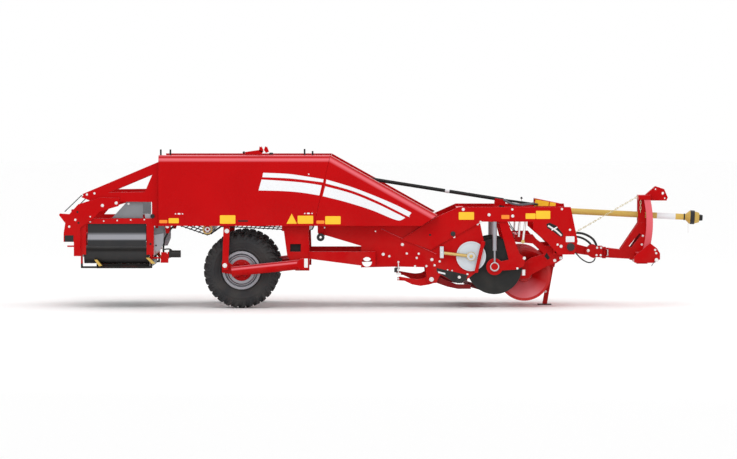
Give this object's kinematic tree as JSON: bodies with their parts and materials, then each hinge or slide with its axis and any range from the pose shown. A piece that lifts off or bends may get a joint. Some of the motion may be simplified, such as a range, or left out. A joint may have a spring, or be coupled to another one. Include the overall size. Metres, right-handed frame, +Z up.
{
  "type": "trailed two-row windrower",
  "caption": "Trailed windrower for root crops: digging web, separating web and cross conveyor behind row rollers and discs, on wheels with a three-point drawbar and drive shaft.",
  "frame": {"origin": "ground level below the middle of the bounding box", "axes": "+X forward towards the drawbar, +Y left, +Z up"},
  "size_m": [7.2114, 2.1, 1.795],
  "materials": {
    "red_paint": "gloss",
    "dark_red_paint": "satin",
    "black_steel": "satin",
    "web": "matt",
    "rubber": "matt",
    "grey_rubber": "matt",
    "tyre": "matt",
    "silver_paint": "satin",
    "bare_steel": "satin",
    "yellow_plastic": "satin",
    "grey_paint": "satin"
  },
  "bodies": {
    "frame": {"hood_rear_right": "red_paint", "hood_rear_left": "red_paint", "hood_front_right": "red_paint", "hood_front_left": "red_paint", "hood_posts": "red_paint", "rail": "red_paint", "frame_side": "red_paint", "channel": "red_paint", "beam": "red_paint", "frame_cross": "red_paint", "front_box": "red_paint", "axle_stand": "red_paint", "axle": "red_paint", "height_post": "red_paint", "disc_arm": "red_paint", "disc_arm_middle": "red_paint", "roller_carrier": "red_paint", "gear_guard": "red_paint", "rear_arm": "red_paint", "rear_hanger": "red_paint", "cross_frame": "red_paint", "hood_lever": "red_paint", "share": "dark_red_paint", "hose_tube": "black_steel", "gearbox": "black_steel", "cross_motor": "black_steel", "web_digging": "web", "web_separating": "web", "cross_belt": "web", "cross_aprons": "rubber", "hose_upper": "rubber", "hose_lower": "rubber", "guide_flap": "grey_rubber", "disc_strut": "silver_paint", "web_rollers": "bare_steel", "cross_rollers": "bare_steel", "chain": "bare_steel", "drive_disc": "grey_paint"},
    "wheel_right": {"tyre_right": "tyre", "rim_right": "silver_paint", "hub_right": "red_paint"},
    "wheel_left": {"tyre_left": "tyre", "rim_left": "silver_paint", "hub_left": "red_paint"},
    "disc_outer_right": {"disc_outer_right": "black_steel"},
    "disc_outer_left": {"disc_outer_left": "black_steel"},
    "disc_inner_right": {"disc_inner_right": "black_steel"},
    "disc_inner_left": {"disc_inner_left": "black_steel"},
    "row_roller_right": {"row_roller_right": "red_paint"},
    "row_roller_left": {"row_roller_left": "red_paint"},
    "stand": {"stand_leg": "red_paint"},
    "knuckle": {"knuckle": "red_paint"},
    "hitch": {"drawbar": "red_paint", "headstock_legs": "red_paint", "headstock_mast": "red_paint", "top_link": "red_paint"},
    "pto_cross": {"pto_cross": "bare_steel"},
    "pto_guard": {"pto_yoke": "bare_steel", "pto_guard": "yellow_plastic"},
    "pto_shaft": {"pto_shaft": "bare_steel"}
  },
  "joints": [
    {"name": "wheel_right_spin", "type": "hinge", "parent": "frame", "child": "wheel_right", "pos_m": [-1.59, -0.785, 0.422], "axis": [0, 1, 0], "continuous": true},
    {"name": "wheel_left_spin", "type": "hinge", "parent": "frame", "child": "wheel_left", "pos_m": [-1.59, 0.785, 0.422], "axis": [0, 1, 0], "continuous": true},
    {"name": "disc_outer_right_spin", "type": "hinge", "parent": "frame", "child": "disc_outer_right", "pos_m": [1.224, -0.812, 0.461], "axis": [0, 1, 0], "continuous": true},
    {"name": "disc_outer_left_spin", "type": "hinge", "parent": "frame", "child": "disc_outer_left", "pos_m": [1.224, 0.812, 0.461], "axis": [0, 1, 0], "continuous": true},
    {"name": "disc_inner_right_spin", "type": "hinge", "parent": "frame", "child": "disc_inner_right", "pos_m": [1.224, -0.034, 0.461], "axis": [0, 1, 0], "continuous": true},
    {"name": "disc_inner_left_spin", "type": "hinge", "parent": "frame", "child": "disc_inner_left", "pos_m": [1.224, 0.034, 0.461], "axis": [0, 1, 0], "continuous": true},
    {"name": "row_roller_right_spin", "type": "hinge", "parent": "frame", "child": "row_roller_right", "pos_m": [1.561, -0.38, 0.373], "axis": [0, 1, 0], "continuous": true},
    {"name": "row_roller_left_spin", "type": "hinge", "parent": "frame", "child": "row_roller_left", "pos_m": [1.561, 0.38, 0.373], "axis": [0, 1, 0], "continuous": true},
    {"name": "hitch_pitch", "type": "hinge", "parent": "frame", "child": "knuckle", "pos_m": [2.311, 0, 0.606], "axis": [0, -1, 0], "range_deg": [0, 20], "deforming": ["hose_upper", "hose_lower", "chain"]},
    {"name": "hitch_yaw", "type": "hinge", "parent": "knuckle", "child": "hitch", "pos_m": [2.485, 0, 0.591], "axis": [0, 0, 1], "range_deg": [-25, 25], "deforming": ["chain"]},
    {"name": "pto_pitch", "type": "hinge", "parent": "frame", "child": "pto_cross", "pos_m": [1.985, 0, 1.066], "axis": [0, -1, 0], "range_deg": [0, 14]},
    {"name": "pto_yaw", "type": "hinge", "parent": "pto_cross", "child": "pto_guard", "pos_m": [1.985, 0, 1.066], "axis": [0.0506, 0, 0.9987], "range_deg": [-13, 13]},
    {"name": "pto_spin", "type": "hinge", "parent": "pto_guard", "child": "pto_shaft", "pos_m": [1.985, 0, 1.066], "axis": [0.9987, 0, -0.0506], "continuous": true},
    {"name": "stand_slide", "type": "slide", "parent": "frame", "child": "stand", "axis": [0.1736, 0, 0.9848], "range_m": [0, 0.25]}
  ],
  "couplings": [
    {"joint": "pto_pitch", "follows": "hitch_pitch", "ratio": 0.66},
    {"joint": "pto_yaw", "follows": "hitch_yaw", "ratio": 0.48}
  ]
}
